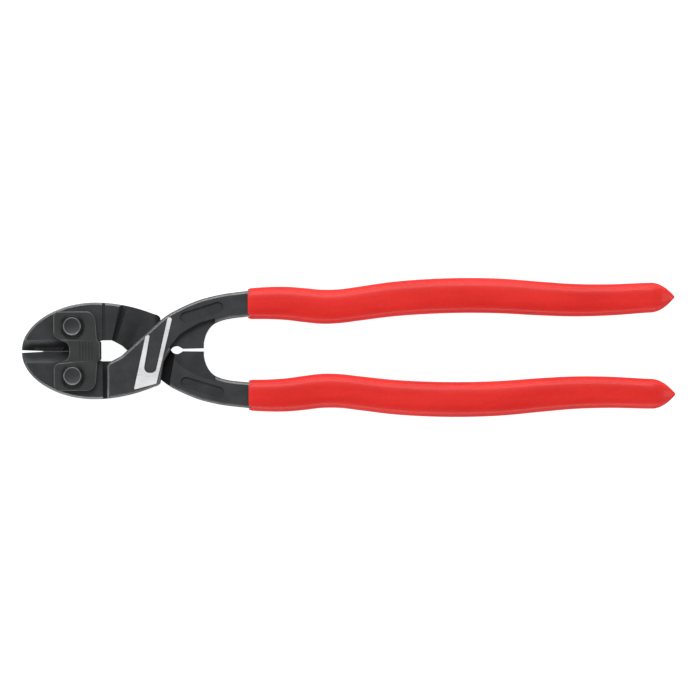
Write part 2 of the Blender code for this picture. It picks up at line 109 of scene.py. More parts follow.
floor_mesh = bpy.data.meshes.new("white_table")
form = bmesh.new()
bmesh.ops.create_grid(form, x_segments=1, y_segments=1, size=3)
bmesh.ops.translate(form, verts=form.verts, vec=(0, 0, cad_box[0].z - TABLE_DROP))
form.to_mesh(floor_mesh)
form.free()
floor = bpy.data.objects.new("white_table", floor_mesh)
bpy.context.scene.collection.objects.link(floor)
white = bpy.data.materials.new("white_table")
white.use_nodes = True
table_shader = white.node_tree.nodes["Principled BSDF"]
table_shader.inputs["Base Color"].default_value = (0.35, 0.35, 0.35, 1)
table_shader.inputs["Roughness"].default_value = 0.9
table_shader.inputs["Specular IOR Level"].default_value = 0.0
table_shader.inputs["Emission Color"].default_value = (1, 1, 1, 1)
table_shader.inputs["Emission Strength"].default_value = 0.92
floor.visible_glossy = False
floor_mesh.materials.append(white)


def soft_box(name, place, size, power):
    """An area light of this size, in metres, that faces the tool."""
    light = bpy.data.lights.new(name, "AREA")
    light.shape = "RECTANGLE"
    light.size, light.size_y = size
    light.energy = power
    lamp = bpy.data.objects.new(name, light)
    lamp.location = place
    lamp.rotation_mode = "QUATERNION"
    lamp.rotation_quaternion = (-Vector(place)).to_track_quat("-Z", "Y")
    bpy.context.scene.collection.objects.link(lamp)


soft_box("overhead_box", (-0.2, 1.1, 1.3), (1.4, 0.8), 21)
soft_box("upper_side_box", (0.0, 1.2, 0.30), (2.0, 0.35), 9)
soft_box("lower_side_box", (0.0, -1.2, 0.30), (2.0, 0.35), 11)
soft_box("front_end_box", (-1.2, 0.0, 0.45), (0.35, 1.0), 6)
soft_box("rear_end_box", (1.2, 0.0, 0.45), (0.35, 1.0), 4)
world = bpy.data.worlds.new("studio")
world.use_nodes = True
world.node_tree.nodes["Background"].inputs["Color"].default_value = (1, 1, 1, 1)
world.node_tree.nodes["Background"].inputs["Strength"].default_value = 0.2
bpy.context.scene.world = world
bpy.context.scene.view_settings.view_transform = "Standard"


# ---- Black oxide steel ----------------------------------------------------------
# Jaws, plates, bolts and levers are forged or blanked, then blackened in a hot salt
# bath: a dark satin skin with faint cloudy patches. The levers' rounded edges are painted
# lighter, a painted highlight, and their lap joint's slot darker, a painted shade.


class Flow:
    """A node socket that does arithmetic: each operator adds its Math node."""

    def __init__(self, tree, socket):
        self.tree = tree
        self.socket = socket

    def node(self, kind, settings=None, **inputs):
        """Adds a node with these settings, then these values or links on its sockets."""
        made = self.tree.nodes.new(kind)
        for name, value in (settings or {}).items():
            setattr(made, name, value)
        for name, value in inputs.items():
            key = int(name[1:]) if name[0] == "_" else name.replace("_", " ")
            if isinstance(value, Flow):
                self.tree.links.new(value.socket, made.inputs[key])
            else:
                made.inputs[key].default_value = value
        return made

    def maths(self, operation, a, b=0.0):
        made = self.node("ShaderNodeMath", {"operation": operation}, _0=a, _1=b)
        return Flow(self.tree, made.outputs[0])

    def axis(self, index):
        """One coordinate of this place."""
        return Flow(self.tree, self.node("ShaderNodeSeparateXYZ", None, _0=self).outputs[index])

    def __add__(self, other):
        return self.maths("ADD", self, other)

    def __sub__(self, other):
        return self.maths("SUBTRACT", self, other)

    def __rsub__(self, other):
        return self.maths("SUBTRACT", other, self)

    def __mul__(self, other):
        return self.maths("MULTIPLY", self, other)

    def fraction(self):
        return self.maths("FRACT", self)

    def __abs__(self):
        return self.maths("ABSOLUTE", self)

    def ramp(self, low, high):
        """0 below low, 1 above high, smooth between."""
        made = self.node(
            "ShaderNodeMapRange",
            {"interpolation_type": "SMOOTHSTEP"},
            Value=self,
            From_Min=low,
            From_Max=high,
        )
        return Flow(self.tree, made.outputs[0])

    def mix(self, start, end):
        """A colour from start to end, by this share."""
        made = self.node(
            "ShaderNodeMix", {"data_type": "RGBA"}, _0=self, _6=start, _7=end
        )
        return Flow(self.tree, made.outputs[2])

    def noise(self, scale, detail=3.0, rough=0.5):
        """Noise read at this place."""
        made = self.node(
            "ShaderNodeTexNoise",
            None,
            Vector=self,
            Scale=scale,
            Detail=detail,
            Roughness=rough,
        )
        return Flow(self.tree, made.outputs["Fac"])

    def stretched(self, scale, turn=0.0):
        """This place, scaled along each axis after a turn about Z."""
        made = self.node("ShaderNodeMapping", None, Vector=self)
        made.inputs["Rotation"].default_value = (0, 0, turn)
        made.inputs["Scale"].default_value = scale
        return Flow(self.tree, made.outputs[0])


def finish_named(name):
    """A new material: its shader, and the place on the piece to read patterns at."""
    material = bpy.data.materials.new(name)
    material.use_nodes = True
    tree = material.node_tree
    place = Flow(tree, tree.nodes.new("ShaderNodeTexCoord").outputs["Object"])
    return material, tree.nodes["Principled BSDF"], place


def wire(place, shader, colour, roughness, bump, strength, depth):
    """Feeds the shader's colour and roughness, and its normal through a bump."""
    links = place.tree.links
    links.new(colour.socket, shader.inputs["Base Color"])
    links.new(roughness.socket, shader.inputs["Roughness"])
    made = place.node("ShaderNodeBump", None, Height=bump)
    made.inputs["Strength"].default_value = strength
    made.inputs["Distance"].default_value = depth
    links.new(made.outputs["Normal"], shader.inputs["Normal"])


def blackened(name, dark, pale, roughness, painted_shade=None):
    """Black oxide between two colours, with clouds, fine grain and a few rubbed specks.

    The last argument, if given, turns the place on the piece into a share of painted shade there.
    """
    material, shader, place = finish_named(name)
    shader.inputs["Metallic"].default_value = 0.55
    shader.inputs["Specular IOR Level"].default_value = 0.5
    clouds = place.noise(140, 4, 0.6)
    grain = place.noise(2600, 2, 0.6)
    specks = place.noise(900, 2, 0.5).ramp(0.68, 0.78)
    share = clouds.ramp(0.3, 0.75) * 0.7 + grain * 0.3
    colour = share.mix(dark, pale)
    if painted_shade:
        # Painted shade: near black mixed in by that share.
        colour = painted_shade(place).mix(colour, (0.006, 0.006, 0.006, 1))
    wire(
        place,
        shader,
        colour,
        clouds * 0.12 + grain * 0.08 - specks * 0.06 + (roughness - 0.1),
        grain + clouds * 0.4,
        0.35,
        0.05 * MM,
    )
    return material


def lap_painted_shade(place):
    """Painted shade at the bottom of the lap joint's slot, where the levers' shoulders part."""
    x, z = place.axis(0) - tip.x, abs(place.axis(2) - tip.z)
    in_slot = x.ramp(50 * MM, 52.5 * MM) - x.ramp(58.7 * MM, 59.3 * MM)
    return in_slot * (1 - z.ramp(0.3 * MM, 3.4 * MM)) * 0.95


# The levers' black, with painted shade darkening the floor of the lap joint's slot towards the
# middle plane.
forged_black = blackened(
    "forged_black", (0.040, 0.042, 0.044, 1), (0.062, 0.064, 0.066, 1), 0.46, lap_painted_shade
)


# ---- Ground steel ---------------------------------------------------------------
# Where a belt takes the black skin off, bare steel shows: the panel on the joint and
# the chamfer round the head. Fine parallel scratches run along the belt's travel.


def ground(name, dark, pale, roughness, travel, metallic):
    """Bare steel with scratches along one direction, as an angle about Z."""
    material, shader, place = finish_named(name)
    shader.inputs["Metallic"].default_value = metallic
    scratches = place.stretched((260, 5200, 800), -travel).noise(1, 3, 0.7)
    patches = place.noise(220, 3, 0.5)
    colour = (scratches * 0.6 + patches * 0.4).ramp(0.3, 0.7).mix(dark, pale)
    wire(
        place,
        shader,
        colour,
        scratches * 0.2 + patches * 0.1 + (roughness - 0.15),
        scratches,
        0.25,
        0.03 * MM,
    )
    return material


panel_steel = ground(
    "panel_steel", (0.66, 0.66, 0.67, 1), (0.88, 0.88, 0.89, 1), 0.46, math.radians(78), 0.35
)
edge_steel = ground(
    "edge_steel", (0.12, 0.122, 0.125, 1), (0.24, 0.243, 0.247, 1), 0.42, 0.2, 0.7
)
rubbed_black = ground(
    "rubbed_black", (0.055, 0.057, 0.058, 1), (0.10, 0.102, 0.103, 1), 0.42, 0.3, 0.6
)


# ---- Levers ---------------------------------------------------------------------
# Two identical drop forgings cross in a lap joint. Each has a tongue in front, a boss
# with the ground panel, a shoulder with a blank oval recess, a web and a long tang.

REST_GAP = 0.3 * MM
HALF_LAP_GAP = REST_GAP / 2
LEVER_EDGE = 1.1 * MM
FINE_EDGE = 0.22 * MM
HALF_WEB = 3.2 * MM
PANEL_RAISE = 0.3 * MM
HEAD_HALF_WIDTH = 18.5 * MM
HEAD_WIDEST_AT = 28 * MM
HEAD_REAR_NARROWING = 9.0
NOSE_POWER = 1.95
LEVER_FRONT = 32.5 * MM
TONGUE_REACH = 16 * MM
TONGUE_GAP = 1.7 * MM
RAMP_LENGTH = 6.5 * MM
RAMP_HEIGHT = 2.6 * MM
RAMP_ROOT = 1 * MM
SWING_GAP = 0.5 * MM
KEY_START = 12.7 * MM
KEY_WIDTH = 2.0 * MM
KEY_LOW = 2.8 * MM
KEY_LENGTH = 3.0 * MM
KEY_HEIGHT = 3.0 * MM
KEY_ROOT = 0.5 * MM
RECESS_DEPTH = 0.8 * MM
GRIP_START = 86.7 * MM
GRIP_WALL = 0.85 * MM
GRIP_FIT = 0.15 * MM
GRIP_BULGE = 0.25 * MM
GRIP_TIP_LENGTH = 9 * MM
CUT_OVERSHOOT = 3 * MM
half_lever = half_thickness("upper_grip") - (GRIP_WALL + GRIP_FIT + GRIP_BULGE)
beyond = half_thickness("upper_jaw_bolt") + CUT_OVERSHOOT


def smooth(points, steps):
    """A Catmull-Rom curve through the points, as a list of points."""
    points = [Vector(point) for point in points]
    ends = [2 * points[0] - points[1], *points, 2 * points[-1] - points[-2]]
    curve = []
    for before, start, end, after in zip(ends, ends[1:], ends[2:], ends[3:]):
        for step in range(steps):
            t = step / steps
            curve.append(
                0.5 * (2 * start + (end - before) * t)
                + 0.5 * (2 * before - 5 * start + 4 * end - after) * t**2
                + 0.5 * (3 * start - before - 3 * end + after) * t**3
            )
    return curve + [points[-1]]


def rounded(corners, steps=8):
    """A closed outline through (x, y, radius) corners, each with its own fillet."""
    outline = []
    for index, (x, y, radius) in enumerate(corners):
        corner = Vector((x, y))
        back = (Vector(corners[index - 1][:2]) - corner).normalized()
        ahead = (Vector(corners[(index + 1) % len(corners)][:2]) - corner).normalized()
        half_angle = back.angle(ahead) / 2
        reach = radius / math.tan(half_angle)
        centre = corner + (back + ahead).normalized() * radius / math.sin(half_angle)
        start = corner + back * reach - centre
        turn = start.angle_signed(corner + ahead * reach - centre)
        for step in range(steps + 1):
            outline.append(centre + Matrix.Rotation(-turn * step / steps, 2) @ start)
    return outline


def made_mesh(source):
    """The evaluated mesh of an object, which is then removed."""
    bpy.context.view_layer.update()
    graph = bpy.context.evaluated_depsgraph_get()
    mesh = bpy.data.meshes.new_from_object(source.evaluated_get(graph))
    bpy.data.objects.remove(source, do_unlink=True)
    return mesh


def stand(name, mesh):
    """A linked object with this mesh."""
    made = bpy.data.objects.new(name, mesh)
    bpy.context.scene.collection.objects.link(made)
    return made


def blank(name, outline, low, high, place=None):
    """A solid of this outline between two heights, in the tool's measures."""
    curve = bpy.data.curves.new(name, "CURVE")
    curve.dimensions = "2D"
    curve.fill_mode = "BOTH"
    curve.extrude = (high - low) / 2
    spline = curve.splines.new("POLY")
    spline.points.add(len(outline) - 1)
    for point, (x, y) in zip(spline.points, outline):
        point.co = (x, y, 0, 1)
    spline.use_cyclic_u = True
    mesh = made_mesh(stand(name, curve))
    mesh.transform(Matrix.Translation((0, 0, (high + low) / 2)))
    mesh.transform(to_row if place is None else to_row @ place)
    form = bmesh.new()
    form.from_mesh(mesh)
    bmesh.ops.remove_doubles(form, verts=form.verts, dist=0.001 * MM)
    bmesh.ops.dissolve_limit(
        form, angle_limit=math.radians(0.2), verts=form.verts, edges=form.edges
    )
    bmesh.ops.recalc_face_normals(form, faces=form.faces)
    form.to_mesh(mesh)
    form.free()
    return stand(name, mesh)


def block(name, low, high, place=None):
    """A box between two corners, in the tool's measures or in the given ones."""
    (x0, y0, z0), (x1, y1, z1) = low, high
    return blank(name, [(x0, y0), (x1, y0), (x1, y1), (x0, y1)], z0, z1, place)


def inset(outline, amounts):
    """The outline with each point moved inward by its own amount, corners kept."""
    area = sum(a.cross(b) for a, b in zip(outline, outline[1:] + outline[:1]))
    turn = math.copysign(1, area)
    moved = []
    for index, point in enumerate(outline):
        before = (point - outline[index - 1]).normalized()
        after = (outline[(index + 1) % len(outline)] - point).normalized()
        inward = Vector((-before.y - after.y, before.x + after.x)) * turn
        moved.append(point + inward * amounts[index] / (1 + before.dot(after)))
    return moved


def flatness(outline, index):
    """1 where the outline runs straight through the point, less at a corner."""
    before = outline[index] - outline[index - 1]
    after = outline[(index + 1) % len(outline)] - outline[index]
    return before.normalized().dot(after.normalized())


def with_room(outline, edge, share):
    """(points, amounts): the outline less the points that would cross when moved in."""
    points = [Vector(point) for point in outline]
    while True:
        amounts = [edge * share(point) for point in points]
        moved = inset(points, amounts)
        crossed = [
            index
            for index in range(len(points))
            if (points[index] - points[index - 1]).dot(moved[index] - moved[index - 1]) <= 0
        ]
        if not crossed:
            return points, amounts
        ends = (crossed[0] - 1, crossed[0])
        del points[max(ends, key=lambda index: flatness(points, index))]


def edged_blank(name, outline, half, edge, segments, share=lambda point: 1):
    """A solid of this outline about the middle plane, with an edge round both faces.

    The edge is a flat chamfer for one segment and rounder for more, and the share gives
    how much of it a point has. Its faces take the second material.
    """
    outline, amounts = with_room(outline, edge, share)
    levels = []
    for step in range(segments + 1):
        angle = math.pi / 2 * step / segments
        levels.append((half - edge + edge * math.sin(angle), 1 - math.cos(angle)))
    levels = [(-height, drawn_in) for height, drawn_in in reversed(levels)] + levels
    form = bmesh.new()
    rings = []
    for height, drawn_in in levels:
        ring = inset(outline, [amount * drawn_in for amount in amounts])
        rings.append([form.verts.new(to_row @ Vector((*point, height))) for point in ring])
    form.faces.new(rings[0])
    form.faces.new(rings[-1])
    for below, above in zip(rings, rings[1:]):
        for index, amount in enumerate(amounts):
            corners = (below[index - 1], below[index], above[index], above[index - 1])
            face = form.faces.new(corners)
            face.material_index = int(below is not rings[segments] and amount > 0)
    bmesh.ops.recalc_face_normals(form, faces=form.faces)
    mesh = bpy.data.meshes.new(name)
    form.to_mesh(mesh)
    form.free()
    return stand(name, mesh)


def break_edges(piece, width, segments, skin):
    """Rounds the cut edges that are left, giving their faces the skin of that slot."""
    bevel = piece.modifiers.new("edges", "BEVEL")
    bevel.width = width
    bevel.segments = segments
    bevel.limit_method = "ANGLE"
    bevel.angle_limit = math.radians(40)
    bevel.material = skin


def work(piece, operation, tool):
    """Cuts the tool out of the piece, joins it, or keeps what both share."""
    boolean = piece.modifiers.new(operation, "BOOLEAN")
    boolean.operation = operation
    boolean.solver = "EXACT"
    boolean.object = tool
    name = piece.name
    mesh = made_mesh(piece)
    bpy.data.objects.remove(tool, do_unlink=True)
    return stand(name, mesh)


def settle(piece, edge=0.0, skin=-1):
    """The finished piece: cut edges broken, round faces smooth, flat ones flat."""
    form = bmesh.new()
    form.from_mesh(piece.data)
    bmesh.ops.remove_doubles(form, verts=form.verts, dist=0.003 * MM)
    bmesh.ops.dissolve_degenerate(form, edges=form.edges, dist=0.002 * MM)
    form.to_mesh(piece.data)
    form.free()
    if edge:
        break_edges(piece, edge, 2, skin)
        piece = stand(piece.name, made_mesh(piece))
    piece.data.shade_smooth()
    piece.data.set_sharp_from_angle(angle=math.radians(33))
    weighted = piece.modifiers.new("flat faces stay flat", "WEIGHTED_NORMAL")
    weighted.keep_sharp = True
    weighted.weight = 100
    return stand(piece.name, made_mesh(piece))


def twin_of(piece, name):
    """The other half's piece: the same mesh turned over about the long axis."""
    mesh = piece.data.copy()
    mesh.transform(turn_over)
    return stand(name, mesh)


def head_edge(x):
    """Half width of the closed head, x from the jaw tips."""
    if x < HEAD_WIDEST_AT:
        share = (HEAD_WIDEST_AT - x) / HEAD_WIDEST_AT
        return HEAD_HALF_WIDTH * (1 - share**NOSE_POWER) ** (1 / NOSE_POWER)
    return HEAD_HALF_WIDTH - HEAD_REAR_NARROWING * (x - HEAD_WIDEST_AT) ** 2


# Share of the sleeve's length, its centre off the long axis, and its half width.
GRIP_STATIONS = [
    (0.000, 17.50 * MM, 5.90 * MM),
    (0.046, 17.70 * MM, 6.16 * MM),
    (0.090, 17.50 * MM, 6.38 * MM),
    (0.131, 16.80 * MM, 6.55 * MM),
    (0.173, 16.10 * MM, 6.55 * MM),
    (0.216, 16.25 * MM, 6.50 * MM),
    (0.258, 17.10 * MM, 6.53 * MM),
    (0.340, 18.75 * MM, 6.64 * MM),
    (0.425, 19.65 * MM, 6.69 * MM),
    (0.510, 19.92 * MM, 6.70 * MM),
    (0.595, 19.55 * MM, 6.66 * MM),
    (0.680, 18.52 * MM, 6.50 * MM),
    (0.765, 17.70 * MM, 6.24 * MM),
    (0.850, 17.70 * MM, 5.98 * MM),
    (0.935, 18.35 * MM, 5.75 * MM),
    (1.000, 18.60 * MM, 5.60 * MM),
]


def handle_line(x):
    """(centre, half width) of the sleeve at x, from its mouth to its end."""
    share = (x - GRIP_START) / (tool_length - GRIP_START)
    last = len(GRIP_STATIONS) - 1
    index = sum(station[0] <= share for station in GRIP_STATIONS[:-1]) - 1
    index = max(index, 0)
    before = GRIP_STATIONS[max(index - 1, 0)]
    start, end = GRIP_STATIONS[index], GRIP_STATIONS[index + 1]
    after = GRIP_STATIONS[min(index + 2, last)]
    span = end[0] - start[0]
    t = (share - start[0]) / span
    found = []
    for column in (1, 2):
        slope_in = (end[column] - before[column]) / (end[0] - before[0])
        slope_out = (after[column] - start[column]) / (after[0] - start[0])
        found.append(
            (2 * t**3 - 3 * t**2 + 1) * start[column]
            + (t**3 - 2 * t**2 + t) * span * slope_in
            + (3 * t**2 - 2 * t**3) * end[column]
            + (t**3 - t**2) * span * slope_out
        )
    return found


def tang_edges(start, end, count):
    """Inner and outer edge of the tang, a wall and a fit inside the sleeve."""
    inner, outer = [], []
    for step in range(count + 1):
        x = start + (end - start) * step / count
        centre, half_width = handle_line(x)
        half_width -= GRIP_WALL + GRIP_FIT
        inner.append(Vector((x, centre - half_width)))
        outer.append(Vector((x, centre + half_width)))
    return inner, outer


tang_end = tool_length - GRIP_TIP_LENGTH - GRIP_WALL
window_point = Vector((40.4 * MM, 0))
diagonal_end = Vector((57.2 * MM, 14.2 * MM))
tang_in, tang_out = tang_edges(GRIP_START, tang_end, 40)
rear = main_pivot.x + 1.3 * MM
steps = 20
tongue_side = [
    Vector((LEVER_FRONT + (rear - LEVER_FRONT) * step / steps, 0)) for step in range(steps + 1)
]
tongue_side = [Vector((point.x, -head_edge(point.x))) for point in tongue_side]
rear_corner = smooth(
    [
        tongue_side[-1],
        (51.9 * MM, -13.5 * MM),
        (52.9 * MM, -12.6 * MM),
        (53.1 * MM, -11.6 * MM),
    ],
    5,
)[1:]
eye = smooth(
    [
        (54.4 * MM, -4.2 * MM),
        (57.0 * MM, 0),
        (58.0 * MM, 1.1 * MM),
        (59.6 * MM, 1.5 * MM),
        (60.9 * MM, 0.95 * MM),
        (61.7 * MM, 0.45 * MM),
    ],
    5,
)
palm = smooth(
    [
        (69.6 * MM, 0.6 * MM),
        (69.8 * MM, 3.4 * MM),
        (71.0 * MM, 6.8 * MM),
        (73.2 * MM, 9.5 * MM),
        (76.4 * MM, 11.05 * MM),
        (80.6 * MM, 11.95 * MM),
        tang_in[0],
    ],
    8,
)[:-1]
back = smooth(
    [
        tang_out[0],
        (77.0 * MM, 21.2 * MM),
        (68.8 * MM, 19.3 * MM),
        (62.9 * MM, 17.0 * MM),
        diagonal_end,
        (53.5 * MM, 11.6 * MM),
        (48.0 * MM, 6.7 * MM),
        window_point,
        (38.0 * MM, -2.1 * MM),
        (33.2 * MM, -4.6 * MM),
    ],
    8,
)[1:]
outline = tongue_side + rear_corner + eye + palm + tang_in + tang_out[::-1] + back
outline.append(Vector((LEVER_FRONT, -5.8 * MM)))
lever = edged_blank("upper_lever_forging", outline, half_lever, LEVER_EDGE, 4)
# The levers' rounded edges take a lighter ground skin: a painted highlight along them.
edge_painted_highlight = ground(
    "edge_painted_highlight", (0.085, 0.087, 0.089, 1), (0.16, 0.162, 0.165, 1), 0.40, 0.3, 0.6
)
for skin in (forged_black, edge_painted_highlight, panel_steel):
    lever.data.materials.append(skin)

# The joint's back half is left to the other lever, but for a ramp under the tongue.
wide = HEAD_HALF_WIDTH + CUT_OVERSHOOT
relief_side = [
    (LEVER_FRONT - CUT_OVERSHOOT, -wide),
    (58.6 * MM, -wide),
    (58.6 * MM, 1.2 * MM),
    (58.2 * MM, 4.2 * MM),
    (56.8 * MM, 11.5 * MM),
    (56.0 * MM, wide),
    (LEVER_FRONT - CUT_OVERSHOOT, wide),
]
relief = blank("joint_relief", relief_side, -beyond, HALF_LAP_GAP)
along = (main_pivot - jaw_pivot).normalized()
channel = Matrix.Translation(jaw_pivot) @ Matrix.Rotation(math.atan2(along.y, along.x), 4, "Z")
below = Matrix.Rotation(math.pi, 4, "X") @ channel
ramp_start = TONGUE_REACH + TONGUE_GAP
inside = HALF_LAP_GAP + RAMP_ROOT
ramp_run = RAMP_LENGTH / (RAMP_HEIGHT + HALF_LAP_GAP) * (RAMP_HEIGHT + inside)
ramp_side = [
    (ramp_start, -inside),
    (ramp_start, RAMP_HEIGHT),
    (ramp_start + ramp_run, -inside),
]
upright = Matrix(((1, 0, 0, 0), (0, 0, -1, 0), (0, 1, 0, 0), (0, 0, 0, 1)))
ramp = blank("ramp", ramp_side, -2 * wide, 2 * wide, below @ upright)
start = Vector((window_point.x, -window_point.y))
end = Vector((diagonal_end.x, -diagonal_end.y))
run = (end - start).normalized()
away = Vector((run.y, -run.x)) * SWING_GAP
start = start + away - run * HEAD_HALF_WIDTH
end = end + away + run * HEAD_HALF_WIDTH
passing = [start, end, (end.x, start.y)]
ramp = work(ramp, "DIFFERENCE", blank("passing_edge", passing, -2 * beyond, 2 * beyond))
relief = work(relief, "DIFFERENCE", ramp)
lever = work(lever, "DIFFERENCE", relief)

# The web between shoulder and gripping slot is thinner on both faces.
web = smooth(
    [
        (56.6 * MM, 1.2 * MM),
        (60.5 * MM, 5.8 * MM),
        (64.3 * MM, 8.3 * MM),
        (68.5 * MM, 10.5 * MM),
        (74.0 * MM, 12.0 * MM),
    ],
    8,
) + [(76 * MM, -3 * MM), (57.6 * MM, -3 * MM)]
lever = work(lever, "DIFFERENCE", blank("front_web", web, HALF_WEB, beyond))
lever = work(lever, "DIFFERENCE", blank("back_web", web, -beyond, -HALF_WEB))
key = block(
    "key",
    (KEY_START, KEY_LOW, -HALF_LAP_GAP - KEY_ROOT),
    (KEY_START + KEY_WIDTH, KEY_LOW + KEY_LENGTH, KEY_HEIGHT),
    below,
)
lever = work(lever, "UNION", key)

# An oval recess, left blank, lies on each face of the shoulder.
recess_place = Matrix.Translation((69.0 * MM, 14.3 * MM, 0)) @ Matrix.Rotation(0.30, 4, "Z")
recess_side = rounded(
    [
        (-8.6 * MM, -2.1 * MM, 2.05 * MM),
        (8.6 * MM, -2.1 * MM, 2.05 * MM),
        (8.6 * MM, 2.1 * MM, 2.05 * MM),
        (-8.6 * MM, 2.1 * MM, 2.05 * MM),
    ]
)
for name, low, high in (
    ("front_recess", half_lever - RECESS_DEPTH, beyond),
    ("back_recess", -beyond, RECESS_DEPTH - half_lever),
):
    lever = work(lever, "DIFFERENCE", blank(name, recess_side, low, high, recess_place))

# The boss stands proud in a U whose top a belt has ground bright.
panel_side = rounded(
    [
        (42.9 * MM, -15.0 * MM, 0.4 * MM),
        (51.5 * MM, -12.7 * MM, 0.4 * MM),
        (57.8 * MM, 12.4 * MM, 0.8 * MM),
        (56.1 * MM, 12.6 * MM, 0.8 * MM),
        (51.2 * MM, -8.6 * MM, 2.0 * MM),
        (46.5 * MM, -8.6 * MM, 2.0 * MM),
        (49.2 * MM, 6.2 * MM, 0.5 * MM),
        (47.5 * MM, 5.4 * MM, 0.5 * MM),
    ]
)
panel_top = half_lever + PANEL_RAISE
pad = blank("panel_boss", panel_side, half_lever - LEVER_EDGE, panel_top)
lever = work(lever, "UNION", pad)
# The broken edges take slot 1 too, the lighter skin that paints a highlight.
lever = settle(lever, FINE_EDGE, 1)
for face in lever.data.polygons:
    if face.center.z > tip.z + panel_top - 0.01 * MM:
        face.material_index = 2
lower_lever = twin_of(lever, "lower_lever_forging")
for piece, node, body in (
    (lever, "upper_lever", "upper_handle"),
    (lower_lever, "lower_lever", "lower_handle"),
):
    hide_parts(node)
    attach(piece, body)


# ---- Main pivot pin -------------------------------------------------------------
# A ground dowel inside the joint, where nothing of it shows. The levers drawn here
# have no bores, so it runs through their meshes.

for slot in frame["nodes"]["main_pivot_pin"].material_slots:
    slot.material = panel_steel


# ---- Jaws -----------------------------------------------------------------------
# Two short hardened jaws. A deep bevel band on each face leads to the cutting edge,
# and a tongue on one half of the thickness reaches back over the other lever's tongue.

JAW_REAR = 31 * MM
JAW_EDGE = 0.85 * MM
CUTTING_EDGE_GAP = 0.02 * MM
REAR_GAP = 0.3 * MM
BEVEL_BAND = 4.4 * MM
WINDOW_HALF_HEIGHT = 4.0 * MM
NOSE_HALF = 0.5 * MM
NOSE_TAPER = 2 * MM
EDGE_LAND = 0.35 * MM
LAND_INSET = 0.15 * MM
BAND_STEP = 0.8 * MM
BAND_END = 20 * MM
GROOVE_WIDTH = 1.2 * MM
GROOVE_DEPTH = 0.8 * MM
KEY_CLEARANCE = 0.25 * MM
KEY_TRAVEL = 6.0 * MM
BORE_RADIUS = 3.58 * MM
TOOTH_COUNT = 14
TOOTH_PITCH = 0.8 * MM
TOOTH_RADIUS = 0.34 * MM
TOOTH_TOP_RADIUS = 0.12 * MM
TOOTH_HEIGHT = 0.30 * MM
half_jaw = half_thickness("upper_jaw")
tongue_top = channel @ Vector((TONGUE_REACH, 12.5 * MM, 0))
across = channel.to_3x3() @ Vector((0, 1, 0))
tongue_foot = tongue_top - across * (tongue_top.y - WINDOW_HALF_HEIGHT) / across.y
steps = 70
jaw_side = []
for step in range(steps + 1):
    x = tongue_top.x * (step / steps) ** 1.6
    jaw_side.append(Vector((x, max(head_edge(x), NOSE_HALF))))
jaw_side += [
    Vector((tongue_foot.x, WINDOW_HALF_HEIGHT)),
    Vector((JAW_REAR - REAR_GAP, WINDOW_HALF_HEIGHT)),
    Vector((19 * MM, CUTTING_EDGE_GAP / 2)),
    Vector((8.4 * MM, CUTTING_EDGE_GAP / 2)),
    Vector((7.6 * MM, 0.16 * MM)),
    Vector((3.0 * MM, 0.36 * MM)),
]
jaw = edged_blank(
    "upper_jaw_blade",
    jaw_side,
    half_jaw,
    JAW_EDGE,
    1,
    lambda point: (
        min(1, (point.y - NOSE_HALF) / NOSE_TAPER)
        if point.y > head_edge(point.x) - 0.01 * MM and point.y > NOSE_HALF
        else 0
    ),
)
jaw_black = blackened(
    "jaw_black", (0.038, 0.040, 0.042, 1), (0.060, 0.062, 0.064, 1), 0.42
)
jaw.data.materials.append(jaw_black)
jaw.data.materials.append(edge_steel)
jaw.data.materials.append(rubbed_black)
along_x = Matrix(((0, 0, 1, 0), (1, 0, 0, 0), (0, 1, 0, 0), (0, 0, 0, 1)))
for name, side in (("front_band", 1), ("back_band", -1)):
    band_side = [
        (-CUT_OVERSHOOT, side * EDGE_LAND),
        (LAND_INSET, side * EDGE_LAND),
        (BEVEL_BAND, side * (half_jaw - BAND_STEP)),
        (BEVEL_BAND, side * beyond),
        (-CUT_OVERSHOOT, side * beyond),
    ]
    band = blank(name, band_side, -CUT_OVERSHOOT, BAND_END, along_x)
    jaw = work(jaw, "DIFFERENCE", band)
relief = block(
    "tongue_relief", (JAW_REAR, -CUT_OVERSHOOT, -beyond), (46 * MM, wide, HALF_LAP_GAP)
)
jaw = work(jaw, "DIFFERENCE", relief)
groove = block(
    "groove", (JAW_REAR, 0, half_jaw - GROOVE_DEPTH), (JAW_REAR + GROOVE_WIDTH, wide, beyond)
)
jaw = work(jaw, "DIFFERENCE", groove)
key_way = block(
    "key_way",
    (KEY_START - KEY_CLEARANCE, KEY_LOW - KEY_CLEARANCE, -CUT_OVERSHOOT),
    (
        KEY_START + KEY_WIDTH + KEY_CLEARANCE,
        KEY_LOW + KEY_LENGTH + KEY_TRAVEL,
        KEY_HEIGHT + REST_GAP,
    ),
    channel,
)
jaw = work(jaw, "DIFFERENCE", key_way)


def round_cutter(name, radius, centre):
    """A straight cylinder through everything, on an axis across the tool."""
    form = bmesh.new()
    bmesh.ops.create_cone(
        form, cap_ends=True, segments=72, radius1=radius, radius2=radius, depth=4 * beyond
    )
    form.transform(to_row @ Matrix.Translation((centre.x, centre.y, 0)))
    mesh = bpy.data.meshes.new(name)
    form.to_mesh(mesh)
    form.free()
    return stand(name, mesh)


jaw = work(jaw, "DIFFERENCE", round_cutter("jaw_bore", BORE_RADIUS, jaw_pivot))
jaw = settle(jaw, 0.15 * MM, 2)

